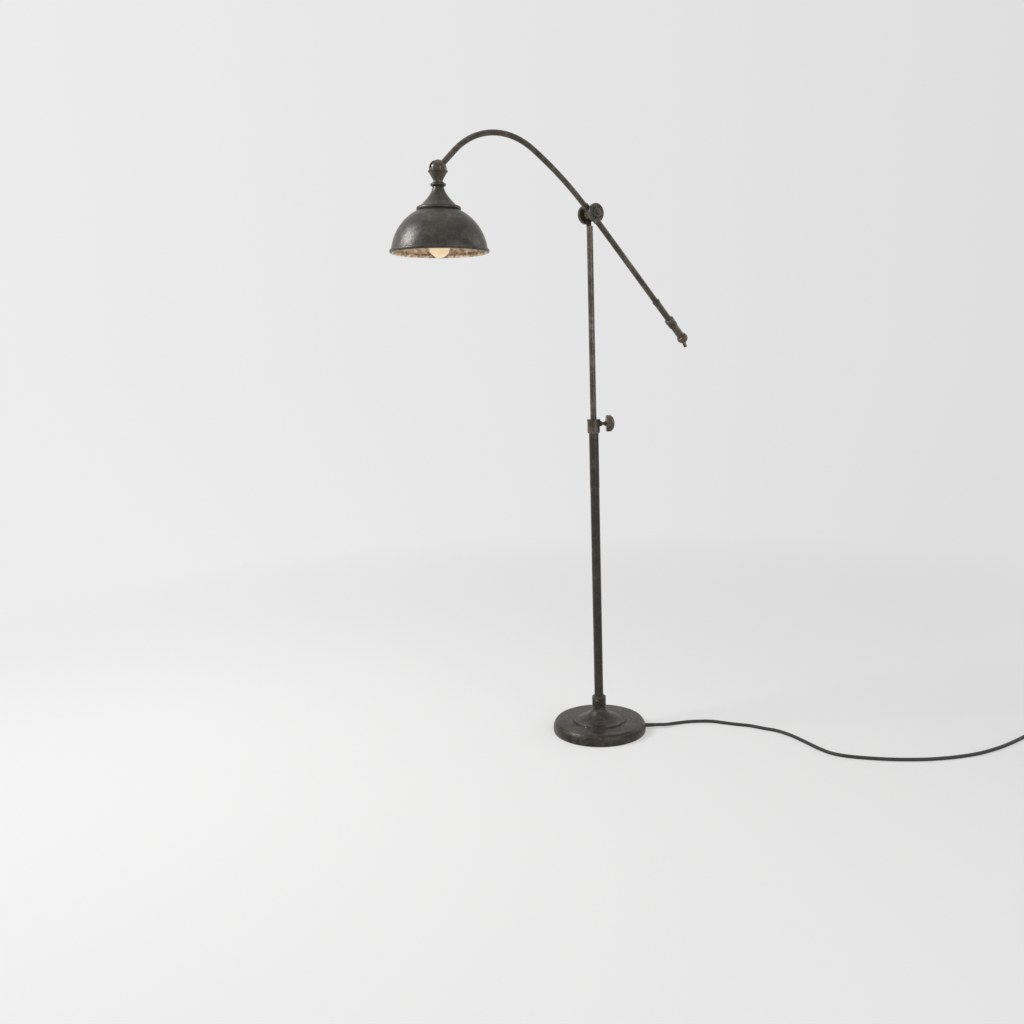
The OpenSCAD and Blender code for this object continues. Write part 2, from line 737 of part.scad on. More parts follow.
module near_cap() {
    color(bronze) in_arm() translate([0, near_y, 0]) pivot_cap();
}

module far_cap() {
    color(bronze) in_arm() translate([0, far_y, 0]) {
        mirror([0, 1, 0]) pivot_cap();
        difference() {
            rod_y(8, -1, cap_boss);
            rod_y(bolt_r + push_fit, -2, cap_boss + 1);
        }
    }
}

module pivot_bolt() {
    color(steel) in_arm() rod_y(bolt_r, far_y - cap_rim - cap_dome * 0.9,
                                near_y + cap_rim + cap_dome * 0.9);
}

// Domed nuts on both ends of the bolt
module cap_buttons() {
    button_r = 7;
    top = cap_rim + cap_dome;
    color(bronze) in_arm() for (side = [0, 1])
        translate([0, side ? far_y - top : near_y + top, 0]) mirror([0, side, 0])
            rotate([-90, 0, 0]) difference() {
                intersection() {
                    cylinder(r = button_r, h = 8);
                    translate([0, 0, -2.5]) sphere(r = 9);
                }
                translate([0, 0, -1]) cylinder(r = bolt_r + push_fit, h = 2.2);
            }
}

module friction_washers() {
    color(brass) in_arm() for (y = [tongue_y + seat, hub_y1 + seat]) difference() {
        rod_y(head_r - 0.3, y, y + washer_t);
        rod_y(bolt_r + push_fit, y - 1, y + washer_t + 1);
    }
}

// ---------- arm ----------

module arm_hub() {
    color(bronze) in_arm() difference() {
        union() {
            rod_y(hub_r, hub_y0, hub_y1);
            in_hub() cylinder(r = hub_socket_r, h = hub_socket_len);
            in_hub_tail() cylinder(r = hub_socket_r, h = hub_socket_len);
        }
        rod_y(bolt_r + run_fit, hub_y0 - 1, hub_y1 + 1);
        translate([-hub_d, hub_y0 - hub_d, -hub_d]) cube([2 * hub_d, hub_d, 2 * hub_d]);
        in_hub() translate([0, 0, arm_in]) cylinder(r = arm_r + push_fit, h = arm_straight);
        in_hub_tail() translate([0, 0, arm_in]) cylinder(r = tail_r + push_fit, h = arm_straight);
        hub_screw_places() cylinder(r = 2.05, h = hub_socket_r + 1);
    }
}

// The hub's sockets: +Z runs up the arm, or down the tail
module in_hub() {
    translate([0, arm_off, 0]) rotate([0, 90 - arm_slope, 0]) children();
}

module in_hub_tail() {
    translate([0, arm_off, 0]) rotate([0, -90 - tail_slope, 0]) translate([tail_rise, 0, 0])
        children();
}

module hub_screw_places() {
    in_hub() translate([0, 0, hub_socket_len - 5]) rotate([0, 90, 0]) children();
    in_hub_tail() translate([0, 0, hub_socket_len - 5]) rotate([0, -90, 0]) children();
}

module hub_screws() {
    z = hub_socket_len - 5;
    color(steel) in_arm() {
        in_hub() translate([arm_r + 0.1, 0, z]) rotate([0, 90, 0])
            cylinder(r = 2, h = hub_socket_r - arm_r);
        in_hub_tail() translate([-tail_r - 0.1, 0, z]) rotate([0, -90, 0])
            cylinder(r = 2, h = hub_socket_r - tail_r);
    }
}

// A bend of tube in the arm's plane, from slope a to slope b about centre c. A thinner length
// reaches a little into its neighbours, so that the lengths join as one tube.
module bend(c, r, a, b, thin = 0) {
    more = thin > 0 ? joint_len / r * 180 / PI : 0;
    translate([c[0], 0, c[1]]) rotate([90, 0, 0]) rotate([0, 0, 90 + b - more])
        rotate_extrude(angle = a - b + 2 * more, $fn = 180) translate([r, 0]) difference() {
            circle(r = arm_r - thin, $fn = 48);
            circle(r = arm_ri + thin, $fn = 48);
        }
}

// A straight length of tube in the arm's plane, from point p along slope a
module straight(p, a, len, thin = 0) {
    translate([p[0], 0, p[1]]) rotate([0, 90 - a, 0]) difference() {
        cylinder(r = arm_r - thin, h = len, $fn = 48);
        translate([0, 0, -eps]) cylinder(r = arm_ri + thin, h = len + 2 * eps, $fn = 48);
    }
}

module arm_tube() {
    start = (arm_in + 0.1) * [cos(arm_slope), sin(arm_slope)];
    color(bronze) in_arm() translate([0, arm_off, 0]) {
        straight(start, arm_slope, arm_straight - arm_in - 0.1 + joint_len, joint_thin);
        bend(c1, bend1_r, arm_slope, slope1);
        bend(c2, bend2_r, slope1, slope2, joint_thin);
        straight(p3, slope2, arm_end - ball_r - end_gap - end_show);
    }
}

module tail_tube() {
    color(bronze) in_tail() tube(tail_r, tail_r - arm_wall, arm_in + 0.1, tail_end);
}

// A sleeve over the tail's end, with a flared mouth that shows as a ring
module tail_ring() {
    len = switch_s - ring_s - 0.1;
    color(bronze) in_tail() translate([0, 0, ring_s]) rotate_extrude()
        polygon([[tail_r + push_fit, 0], [tail_r + 1.8, 0], [tail_r + 2.6, 1.2], [tail_r + 2.3, 5],
                 [tail_r + 1.2, 15], [tail_r + 1, 22], [tail_r + 1, len],
                 [tail_r + push_fit, len]]);
}

module switch_collar() {
    r = collar_d / 2;
    color(bronze) in_tail() translate([0, 0, switch_s]) difference() {
        rotate_extrude() polygon(concat(
            [[0, 0], [r - 2.5, 0]], arc([r - 2, 3], 2, -60, 0, 3),
            [[r, collar_len * 0.45], [r - 0.8, collar_len * 0.55], [r - 0.4, collar_len - 2],
             [barrel_d / 2, collar_len], [0, collar_len]]));
        translate([0, 0, -1]) cylinder(r = tail_r + push_fit, h = collar_len - 3);
        translate([0, 0, collar_len - 4]) cylinder(r = 5, h = 5);
    }
}

module switch_barrel() {
    r = barrel_d / 2;
    color(bronze) in_tail() translate([0, 0, switch_s + collar_len]) difference() {
        cylinder(r = r, h = barrel_len);
        translate([0, 0, -1]) cylinder(r = r - 1.5, h = barrel_len - 1);
        cylinder(r = 3 + run_fit, h = barrel_len + 1);
    }
}

module switch_core() {
    r = barrel_d / 2 - 1.6;
    color(black) in_tail() translate([0, 0, switch_s + collar_len]) difference() {
        translate([0, 0, 0.1]) cylinder(r = r, h = barrel_len - 2.3);
        translate([0, 0, barrel_len - 16]) cylinder(r = 3 + run_fit, h = 16);
    }
}

module key_shaft() {
    z = switch_s + collar_len + barrel_len;
    color(brass) in_tail() translate([0, 0, z - 15]) cylinder(r = 3, h = 29);
}

// The key: a flared rim and a waist on the shaft, and a flat butterfly grip with two round lobes
module switch_key() {
    r = key_d / 2;
    lobe = 5;
    z = switch_s + collar_len + barrel_len;
    color(bronze) in_tail() translate([0, 0, z + 0.3]) rotate([0, 0, key_turn]) difference() {
        union() {
            rotate_extrude() polygon([[0, 0], [r - 3, 0], [r - 1.6, 0.8], [r - 1.2, 3], [r, 8],
                                      [r - 0.4, 12], [r - 2.2, 16], [r - 5.4, 20], [4, 22], [0, 22]]);
            rotate([90, 0, 0]) translate([0, 0, -3.6]) linear_extrude(height = 7.2) {
                polygon([[-9, 5], [9, 5], [key_span / 2 + lobe * 0.9, key_len - lobe * 1.5],
                         [key_span / 2, key_len - lobe], [0, key_len - 7], [-key_span / 2, key_len - lobe],
                         [-key_span / 2 - lobe * 0.9, key_len - lobe * 1.5]]);
                for (side = [-1, 1]) translate([side * key_span / 2, key_len - lobe])
                    circle(r = lobe, $fn = 36);
            }
        }
        translate([0, 0, -1]) cylinder(r = 3 + push_fit, h = 15);
    }
}

// ---------- shade joint ----------

// Puts +Z along the arm's end, from the ball's centre back up the arm
module in_arm_end() {
    at_ball() rotate([0, -90 - slope2, 0]) children();
}

// The plug in the arm's end, with the flat tongue that turns in the ball's slot
module arm_tongue() {
    collar = ball_r + end_gap;
    color(bronze) in_arm_end() difference() {
        union() {
            translate([0, 0, collar]) cylinder(r = arm_r, h = end_show);
            translate([0, 0, collar + end_show]) cylinder(r = arm_ri - push_fit, h = end_plug);
            rod_y(tongue_r, -ball_tongue / 2, ball_tongue / 2);
            intersection() {
                cylinder(r = arm_r - 0.5, h = collar + 1);
                translate([-arm_r, -ball_tongue / 2, 0]) cube([arm_d, ball_tongue, collar + 2]);
            }
        }
        rod_y(ball_screw_d / 2 + run_fit, -ball_tongue, ball_tongue);
        translate([0, 0, ball_screw_d]) cylinder(r = 2, h = collar + end_show + end_plug);
    }
}

module swivel_ball() {
    w = ball_tongue / 2 + seat;
    color(bronze) in_ball() difference() {
        sphere(r = ball_r);
        rod_y(tongue_r + 0.4, -w, w);
        translate([-ball_d, -w, 0]) cube([2 * ball_d, 2 * w, ball_d]);
        rod_y(ball_screw_d / 2 + push_fit, -ball_d, ball_d);
        rod_y(5, ball_r - 4, ball_r + 1);
        translate([0, 0, -ball_r - 1]) cylinder(r = 2.5, h = ball_r);
    }
}

// The cup carries the ball and ends in a neck with a running bore for the shade's nipple
module swivel_cup() {
    r = cup_d / 2;
    neck_r = neck_d / 2;
    low = ring_z + seat;
    color(bronze) in_cup() difference() {
        rotate_extrude() polygon(concat(
            [[0, -4.5], [r - 1.5, -4.5], [r, -5.4], [r - 0.8, -7]],
            [for (t = [0.15:0.17:1])
                [neck_r + (r - 1.5 - neck_r) * pow(1 - t, 1.12), -7 - 20.6 * t]],
            [[neck_r, -29], [neck_r + 1.8, low + 1.4], [neck_r + 1.8, low], [0, low]]));
        sphere(r = ball_r + push_fit);
        translate([0, 0, cup_floor]) cylinder(r = nipple_r + 3.1, h = ball_r);
        translate([0, 0, low - 1]) cylinder(r = nipple_r + run_fit, h = ball_r);
    }
}

// A slotted screw through the ball, with its head sunk on the near side
module swivel_screw() {
    color(steel) in_ball() difference() {
        union() {
            rod_y(ball_screw_d / 2, -ball_r + 2, ball_r - 3.5);
            rod_y(4.9, ball_r - 3.95, ball_r + 0.4);
        }
        translate([-6, ball_r - 0.6, -0.6]) cube([12, 3, 1.2]);
    }
}

// The nipple's head turns in the cup; the ring, the fitter and the lamp socket hang on its shank
module shade_nipple() {
    color(steel) in_cup() difference() {
        union() {
            translate([0, 0, cup_floor + push_fit]) cylinder(r = nipple_r + 3, h = 2.9);
            translate([0, 0, -dome_drop + socket_top - 8])
                cylinder(r = nipple_r, h = dome_drop - socket_top + 8 + cup_floor + 1);
        }
        translate([0, 0, -ball_d * 2]) cylinder(r = 3.2, h = ball_d * 2);
    }
}

module nipple_lock() {
    color(steel) in_cup() translate([0, 0, nut_z - 4.5]) difference() {
        cylinder(r = 9.8, h = 4.5, $fn = 6);
        translate([0, 0, -1]) cylinder(r = nipple_r + push_fit, h = 7);
    }
}

// ---------- shade ----------

module neck_ring() {
    r = neck_ring_d / 2;
    h = neck_ring_h;
    color(bronze) in_cup() translate([0, 0, ring_z - h]) rotate_extrude() polygon(concat(
        [[nipple_r + push_fit, 0], [r - 4, 0]],
        arc([r - h * 0.4, h / 2], h * 0.4, -75, 75, 8),
        [[r - 4, h], [nipple_r + push_fit, h]]));
}

// Radius of the fitter's ogee a part t of the way down
fitter_brim = 5.4;                       // radius of the fitter's rolled brim
brim_z = fitter_seat + 4;
fitter_foot = brim_z + fitter_brim - 0.6;
function fitter_r(t) = fitter_neck_r + (fitter_d / 2 - 7.2 - fitter_neck_r) * pow(t, 1.6);
function fitter_z(t) = fitter_top + (fitter_foot - fitter_top) * t;

module fitter() {
    ceil_z = fitter_top - boss_h;
    t0 = boss_h / (fitter_top - fitter_foot);
    color(bronze) in_cup() difference() {
        rotate_extrude() polygon(concat(
            [[0, fitter_top]],
            [for (t = [0:0.1:1]) [fitter_r(t), fitter_z(t)]],
            arc([fitter_d / 2 - fitter_brim, brim_z], fitter_brim, 60, -90, 10),
            [[0, brim_z - fitter_brim]]));
        rotate_extrude() polygon(concat(
            [[0, ceil_z], [fitter_r(t0) - fitter_t, ceil_z]],
            [for (k = [0.15:0.17:1]) let (t = t0 + (1 - t0) * k) [fitter_r(t) - fitter_t, fitter_z(t)
                - fitter_t * k]],
            [[fitter_d / 2 - 8.5, brim_z + 2], [fitter_d / 2 - 8.5, brim_z - fitter_brim - 1],
             [0, brim_z - fitter_brim - 1]]));
        translate([0, 0, -dome_drop]) sphere(r = dome_r + 0.05, $fn = 120);
        translate([0, 0, ceil_z - 1]) cylinder(r = nipple_r + push_fit, h = boss_h + 2);
    }
}

// A spun dome with a rolled bead at its rim and a hole for the lamp socket at its top
module shade() {
    bead_x = sqrt(pow(dome_r, 2) - pow(rim_up, 2)) - 1;
    color(bronze) in_dome() rotate_extrude($fn = 120) union() {
        difference() {
            circle(r = dome_r, $fn = 120);
            circle(r = dome_ri, $fn = 120);
            translate([-2 * dome_r, -2 * dome_r]) square([2 * dome_r, 4 * dome_r]);
            translate([0, -2 * dome_r]) square([2 * dome_r, 2 * dome_r + rim_up]);
            square([socket_hole_r, 2 * dome_r]);
        }
        translate([bead_x, rim_up]) difference() {
            circle(r = bead_r, $fn = 32);
            circle(r = bead_r - shade_t, $fn = 32);
        }
    }
}

module shade_ring() {
    z = sqrt(pow(dome_ri, 2) - pow(socket_hole_r + 8, 2));
    color(black) in_dome() difference() {
        translate([0, 0, z - 6]) cylinder(r = socket_hole_r + 8, h = 12);
        translate([0, 0, z - 7]) cylinder(r = lamp_socket_d / 2 + push_fit, h = 20);
        difference() {
            sphere(r = dome_r + 20);
            sphere(r = dome_ri - 0.1, $fn = 120);
        }
    }
}

module lamp_socket() {
    r = lamp_socket_d / 2;
    color(ceramic) in_dome() difference() {
        union() {
            translate([0, 0, socket_low]) cylinder(r = r, h = lamp_socket_len - 12);
            translate([0, 0, socket_top - 12]) cylinder(r1 = r, r2 = r - 7, h = 12);
        }
        translate([0, 0, socket_low - 1]) cylinder(r = 14.2, h = lamp_socket_len - 17);
        translate([0, 0, socket_top - 8]) cylinder(r = nipple_r + push_fit, h = 9);
        translate([0, 0, socket_top - 20]) cylinder(r = 3.5, h = 21);
    }
}

module socket_contact() {
    color(brass) in_dome() translate([0, 0, socket_low + lamp_socket_len - 23])
        difference() {
            cylinder(r = 12, h = 4.9);
            translate([0, 0, 2]) cylinder(r = 3.5, h = 4);
        }
}

module bulb_base() {
    color(steel) in_dome() translate([0, 0, socket_low + lamp_socket_len - 23 - 26.2]) {
        cylinder(r = 13.2, h = 21);
        translate([0, 0, 21]) cylinder(r1 = 12, r2 = 5, h = 5);
    }
}

module bulb_glass() {
    base_z = socket_low + lamp_socket_len - 23 - 26.2;
    neck_a = 50;
    color(warm_glass) in_dome() rotate_extrude() polygon(concat(
        [[0, bulb_c - bulb_r]],
        arc([0, bulb_c], bulb_r, -80, neck_a, 14),
        [[bulb_neck_r, base_z - 4], [bulb_neck_r, base_z - 0.1], [0, base_z - 0.1]]));
}

// ---------- the nodes ----------

base_casting();
felt_pad();
bottom_cover();
cover_screws();
base_socket();
socket_screw();
base_nipple();
nipple_washer();
nipple_nut();
lower_tube();
pole_sleeve();
clamp_collar();
strain_relief();
base_lead();
pole_lead();
cord_run();
cord_coil();
plug_body();
plug_blades();
clamp_pad();
clamp_screw();
clamp_knob();
guide_bush();
upper_tube();
pole_head();
far_cap();
near_cap();
pivot_bolt();
cap_buttons();
friction_washers();
arm_hub();
hub_screws();
arm_tube();
tail_tube();
tail_ring();
switch_collar();
switch_barrel();
switch_core();
switch_key();
key_shaft();
arm_tongue();
swivel_ball();
swivel_cup();
swivel_screw();
shade_nipple();
nipple_lock();
neck_ring();
fitter();
shade();
shade_ring();
lamp_socket();
socket_contact();
bulb_base();
bulb_glass();
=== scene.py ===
import math

import bmesh
import bpy
from mathutils import Matrix, Vector


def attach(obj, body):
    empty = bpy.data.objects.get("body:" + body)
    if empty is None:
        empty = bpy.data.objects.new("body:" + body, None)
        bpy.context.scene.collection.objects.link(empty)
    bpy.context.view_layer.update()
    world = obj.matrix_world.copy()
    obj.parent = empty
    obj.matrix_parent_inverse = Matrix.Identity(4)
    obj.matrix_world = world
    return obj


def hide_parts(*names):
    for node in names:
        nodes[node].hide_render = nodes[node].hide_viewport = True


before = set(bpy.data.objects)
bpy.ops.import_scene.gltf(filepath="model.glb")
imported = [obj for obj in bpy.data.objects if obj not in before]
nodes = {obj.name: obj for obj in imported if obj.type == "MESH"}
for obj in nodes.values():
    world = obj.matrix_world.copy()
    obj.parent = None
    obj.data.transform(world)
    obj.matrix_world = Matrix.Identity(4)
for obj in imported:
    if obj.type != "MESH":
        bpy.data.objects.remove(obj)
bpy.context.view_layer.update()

scene = bpy.context.scene

# ------------------------------------------------------------------ camera
# Fitted to the square photograph: focal length in its pixels, a tilt down and a slight roll
PICTURE_PX, FOCAL_PX, SENSOR_MM = 1024.0, 972.9, 36.0
PITCH, ROLL = math.radians(8.804), math.radians(-1.889)
EYE = (-0.2337, -2.6975, 1.0664)

fwd = Vector((0, math.cos(PITCH), -math.sin(PITCH)))
level_right = Vector((1, 0, 0))
level_up = level_right.cross(fwd)
right = level_right * math.cos(ROLL) + level_up * math.sin(ROLL)
up = level_up * math.cos(ROLL) - level_right * math.sin(ROLL)
cam_data = bpy.data.cameras.new("camera")
cam_data.sensor_width = SENSOR_MM
cam_data.lens = FOCAL_PX * SENSOR_MM / PICTURE_PX
cam_data.clip_end = 100.0
camera = bpy.data.objects.new("camera", cam_data)
scene.collection.objects.link(camera)
camera.matrix_world = Matrix((
    (right.x, up.x, -fwd.x, EYE[0]),
    (right.y, up.y, -fwd.y, EYE[1]),
    (right.z, up.z, -fwd.z, EYE[2]),
    (0, 0, 0, 1)))
scene.camera = camera


# ------------------------------------------------------------------ node helpers
class Mat:
    """A node material on one Principled shader, with short calls for its parts.

    Textures take object coordinates, so their scales count per metre.
    """

    def __init__(self, name):
        self.mat = bpy.data.materials.new(name)
        self.mat.use_nodes = True
        self.tree = self.mat.node_tree
        self.tree.nodes.clear()
        self.out = self.new("ShaderNodeOutputMaterial")
        self.bsdf = self.new("ShaderNodeBsdfPrincipled")
        self.link(self.bsdf.outputs[0], self.out.inputs["Surface"])
        self.coord = self.new("ShaderNodeTexCoord").outputs["Object"]

    def new(self, kind, **props):
        node = self.tree.nodes.new(kind)
        for key, value in props.items():
            setattr(node, key, value)
        return node

    def link(self, a, b):
        self.tree.links.new(a, b)

    def put(self, socket, value):
        """Link a socket to another one's output, or set its plain value."""
        if isinstance(value, bpy.types.NodeSocket):
            self.link(value, socket)
        else:
            socket.default_value = value

    def set(self, **values):
        """Set the shader's inputs: base_color= is its Base Color."""
        for key, value in values.items():
            name = key.replace("_", " ").title().replace("Ior", "IOR")
            self.put(self.bsdf.inputs[name], value)

    def normal(self, socket):
        self.link(socket, self.bsdf.inputs["Normal"])

    def noise(self, scale, detail=4.0, rough=0.55, vector=None, distortion=0.0):
        node = self.new("ShaderNodeTexNoise")
        node.inputs["Scale"].default_value = scale
        node.inputs["Detail"].default_value = detail
        node.inputs["Roughness"].default_value = rough
        node.inputs["Distortion"].default_value = distortion
        self.link(vector or self.coord, node.inputs["Vector"])
        return node.outputs["Fac"]

    def voronoi(self, scale, feature="F1"):
        node = self.new("ShaderNodeTexVoronoi", feature=feature)
        node.inputs["Scale"].default_value = scale
        self.link(self.coord, node.inputs["Vector"])
        return node.outputs["Distance"]

    def ramp(self, fac, stops):
        """Colours at their places along fac."""
        node = self.new("ShaderNodeValToRGB")
        elements = node.color_ramp.elements
        while len(elements) < len(stops):
            elements.new(0.5)
        for element, (place, colour) in zip(elements, stops):
            element.position = place
            element.color = (*colour, 1.0)
        self.link(fac, node.inputs[0])
        return node.outputs[0]

    def range(self, value, lo, hi, to_lo, to_hi):
        """The value's stretch from lo to hi laid onto to_lo to to_hi, and held beyond."""
        node = self.new("ShaderNodeMapRange")
        limits = {"From Min": lo, "From Max": hi, "To Min": to_lo, "To Max": to_hi}
        for key, number in {"Value": value, **limits}.items():
            self.put(node.inputs[key], number)
        return node.outputs[0]

    def spread(self, noise, to_lo, to_hi):
        """The stretch that most of a noise's values lie in, laid onto to_lo to to_hi."""
        return self.range(noise, 0.3, 0.7, to_lo, to_hi)

    def math(self, op, a, b=0.0):
        node = self.new("ShaderNodeMath", operation=op)
        self.put(node.inputs[0], a)
        self.put(node.inputs[1], b)
        return node.outputs[0]

    def vector_math(self, op, a, b, output="Vector"):
        node = self.new("ShaderNodeVectorMath", operation=op)
        self.put(node.inputs[0], a)
        self.put(node.inputs[1], b)
        return node.outputs[output]

    def split(self):
        """The object coordinates' x, y and z."""
        node = self.new("ShaderNodeSeparateXYZ")
        self.link(self.coord, node.inputs[0])
        return node.outputs

    def length(self, x, y):
        squares = self.math("MULTIPLY", x, x), self.math("MULTIPLY", y, y)
        return self.math("SQRT", self.math("ADD", *squares))

    def mix(self, fac, a, b):
        node = self.new("ShaderNodeMix", data_type="RGBA")
        self.link(fac, node.inputs[0])
        for place, colour in ((6, a), (7, b)):
            plain = not isinstance(colour, bpy.types.NodeSocket)
            self.put(node.inputs[place], (*colour, 1.0) if plain else colour)
        return node.outputs[2]

    def layer(self, base, colour, value, lo, hi, most):
        """A colour over the base that grows to most as the value goes from lo to hi."""
        return self.mix(self.range(value, lo, hi, 0.0, most), base, colour)

    def bump(self, height, distance, strength, normal=None):
        node = self.new("ShaderNodeBump")
        node.inputs["Strength"].default_value = strength
        node.inputs["Distance"].default_value = distance
        self.link(height, node.inputs["Height"])
        if normal is not None:
            self.link(normal, node.inputs["Normal"])
        return node.outputs[0]

    def edges(self, radius):
        """1 on the edges and 0 on flat ground, for wear."""
        soft = self.new("ShaderNodeBevel", samples=6)
        soft.inputs["Radius"].default_value = radius
        flat = self.new("ShaderNodeNewGeometry").outputs["Normal"]
        same = self.vector_math("DOT_PRODUCT", soft.outputs[0], flat, "Value")
        return self.range(self.math("SUBTRACT", 1.0, same), 0.03, 0.22, 0.0, 1.0)


def srgb(r, g, b):
    """An sRGB colour of 0 to 255 as linear values."""
    def lin(c):
        c /= 255.0
        return c / 12.92 if c <= 0.04045 else ((c + 0.055) / 1.055) ** 2.4
    return (lin(r), lin(g), lin(b))


# ------------------------------------------------------------------ patina
DOME_CENTRE = (-0.38744, -0.286251, 1.323299)
DOME_IN = 0.1164          # a radius inside the dome's wall, between its two faces
EDGE_WEAR = 0.0012        # how wide the wear on an edge is
# Texture scales, per metre, from the large brown patches down to the pits. Noise values lie around
# 0.5, so the layers below start and end a little below and above that.
RUST, CLOUD, MOTTLE, RINGS, FINE, PITS = 19.0, 34.0, 125.0, 230.0, 430.0, 480.0


def patina(name, dark, mid, light, brown, worn, brown_part, rough, grain=1.0, shine=0.5,
           turned=None, streak=0.0, lining_and_bulb_light=None):
    """Metal under a dark bronze patina: blotches, brown patches, fine pits and worn edges.

    turned is the axis of its turning marks and streak their strength; the last argument gives the
    colours of the shade's inside, whose warm paint is made brighter as painted light from the
    bulb.
    """
    dark, mid, light, brown, worn = (srgb(*c) for c in (dark, mid, light, brown, worn))
    m = Mat(name)
    cloud = m.noise(CLOUD, detail=6.0, rough=0.68, distortion=0.7)
    mottle = m.noise(MOTTLE, detail=5.0, rough=0.7, distortion=0.4)
    fine = m.noise(FINE, rough=0.65)
    pits = m.voronoi(PITS)
    rust = m.noise(RUST, rough=0.72, distortion=0.8)

    base = m.ramp(cloud, [(0.34, dark), (0.49, mid), (0.64, light)])
    base = m.layer(base, dark, mottle, 0.42, 0.62, 0.75)
    base = m.layer(base, brown, rust, 0.49, 0.64, brown_part)
    base = m.layer(base, light, fine, 0.47, 0.72, 0.7)
    base = m.mix(m.range(pits, 0.0, 0.2, 0.7, 0.0), base, dark)
    wear = m.math("MULTIPLY", m.edges(EDGE_WEAR), m.range(mottle, 0.35, 0.6, 0.3, 1.0))
    base = m.mix(wear, base, worn)

    gloss = m.range(mottle, 0.3, 0.68, rough[0], rough[1])
    relief = m.bump(cloud, distance=0.0014, strength=0.4 * grain)
    relief = m.bump(mottle, distance=0.0006, strength=0.45 * grain, normal=relief)
    relief = m.bump(fine, distance=0.0002, strength=0.5 * grain, normal=relief)
    if turned:
        base, relief = turning(m, turned, streak, cloud, base, light, dark, relief)
    if lining_and_bulb_light:
        base, gloss, relief = lined_and_lit(m, lining_and_bulb_light, base, gloss, relief)
    m.set(base_color=base, metallic=0.3, specular_ior_level=shine, roughness=gloss)
    m.normal(relief)
    return m


def turning(m, axis, streak, cloud, base, light, dark, relief):
    """Light and dark rings around an upright axis, made uneven by the cloud."""
    at = m.split()
    radius = m.length(m.math("SUBTRACT", at[0], axis[0]), m.math("SUBTRACT", at[1], axis[1]))
    profile = m.new("ShaderNodeCombineXYZ")
    m.link(m.math("ADD", radius, m.math("MULTIPLY", cloud, 0.012)), profile.inputs[0])
    m.link(m.math("ADD", at[2], m.math("MULTIPLY", cloud, 0.008)), profile.inputs[2])
    rings = m.noise(RINGS, rough=0.65, vector=profile.outputs[0])
    patch = m.range(cloud, 0.4, 0.58, 0.1, streak)
    base = m.mix(m.math("MULTIPLY", m.range(rings, 0.48, 0.62, 0.0, 1.0), patch), base, light)
    base = m.mix(m.range(rings, 0.34, 0.46, streak * 0.8, 0.0), base, dark)
    return base, m.bump(rings, distance=0.0005, strength=0.45, normal=relief)


BLOT, HAMMER = 95.0, 110.0              # texture scales of the lining


def lined_and_lit(m, lining_and_bulb_light, base, gloss, relief):
    """The shade's warm hammered inside, told by the distance from the dome's centre. Its colours
    are the warm paint made brighter: painted light from the bulb.
    """
    dark, mid, light = (srgb(*c) for c in lining_and_bulb_light)
    from_centre = m.vector_math("SUBTRACT", m.coord, DOME_CENTRE)
    length = m.new("ShaderNodeVectorMath", operation="LENGTH")
    m.link(from_centre, length.inputs[0])
    inside = m.math("LESS_THAN", length.outputs["Value"], DOME_IN)
    blot = m.noise(BLOT, rough=0.66, distortion=0.8)
    cells = m.voronoi(HAMMER, "SMOOTH_F1")
    # Painted light: these colours carry the bulb's glow on top of the lining's own warm paint
    lit_inner = m.ramp(blot, [(0.38, dark), (0.47, mid), (0.6, light)])
    lit_inner = m.layer(lit_inner, dark, cells, 0.3, 0.6, 0.6)
    dents = m.math("MULTIPLY", cells, inside)
    hammered = m.bump(dents, distance=0.0016, strength=0.7, normal=relief)
    duller = m.math("ADD", gloss, m.math("MULTIPLY", inside, 0.12))
    return m.mix(inside, base, lit_inner), duller, hammered


base_mat = patina(
    "base_patina", dark=(22, 20, 17), mid=(38, 35, 30), light=(77, 70, 62), brown=(62, 49, 40),
    worn=(132, 122, 110), brown_part=0.4, rough=(0.28, 0.46), grain=1.3, shine=0.4,
    turned=(0, 0), streak=0.75)
pole_mat = patina(
    "pole_patina", dark=(23, 21, 18), mid=(35, 32, 27), light=(64, 58, 49), brown=(60, 46, 35),
    worn=(116, 106, 94), brown_part=0.4, rough=(0.2, 0.38), grain=0.6)
stem_mat = patina(
    "stem_patina", dark=(38, 35, 31), mid=(59, 54, 47), light=(106, 98, 86), brown=(88, 70, 57),
    worn=(156, 144, 126), brown_part=0.45, rough=(0.18, 0.34), grain=0.6)
arm_mat = patina(
    "arm_patina", dark=(34, 32, 27), mid=(55, 51, 44), light=(104, 97, 85), brown=(84, 65, 51),
    worn=(152, 140, 122), brown_part=0.5, rough=(0.2, 0.38))
key_mat = patina(
    "key_patina", dark=(34, 30, 25), mid=(55, 48, 40), light=(96, 85, 71), brown=(86, 64, 49),
    worn=(148, 132, 112), brown_part=0.55, rough=(0.24, 0.42))
shade_mat = patina(
    "shade_patina", dark=(30, 28, 24), mid=(46, 43, 37), light=(83, 78, 69), brown=(74, 57, 46),
    worn=(126, 112, 100), brown_part=0.4, rough=(0.26, 0.44),
    turned=DOME_CENTRE, streak=0.3,
    # the inside's colours: warm paint brightened up to nearly white as painted light from the bulb
    lining_and_bulb_light=((138, 111, 86), (223, 200, 172), (254, 238, 216)))


# ------------------------------------------------------------------ other materials
FINE_RELIEF = 0.0001
RIB_PITCH = 0.0032
CORD_END_WAY = (0.8, 0.6, 0.0)          # the way that the cord leaves the view, and the plug lies


def shaded(colour, factor):
    return tuple(c * factor for c in colour)


def plain_metal(name, colour, rough, metallic=1.0):
    m = Mat(name)
    fine = m.noise(300.0, detail=3.0, rough=0.6)
    tint = m.ramp(fine, [(0.3, shaded(colour, 0.72)), (0.7, colour)])
    gloss = m.spread(m.noise(90.0), rough * 0.8, rough * 1.3)
    m.set(base_color=tint, metallic=metallic, roughness=gloss)
    m.normal(m.bump(fine, FINE_RELIEF, strength=0.3))
    return m


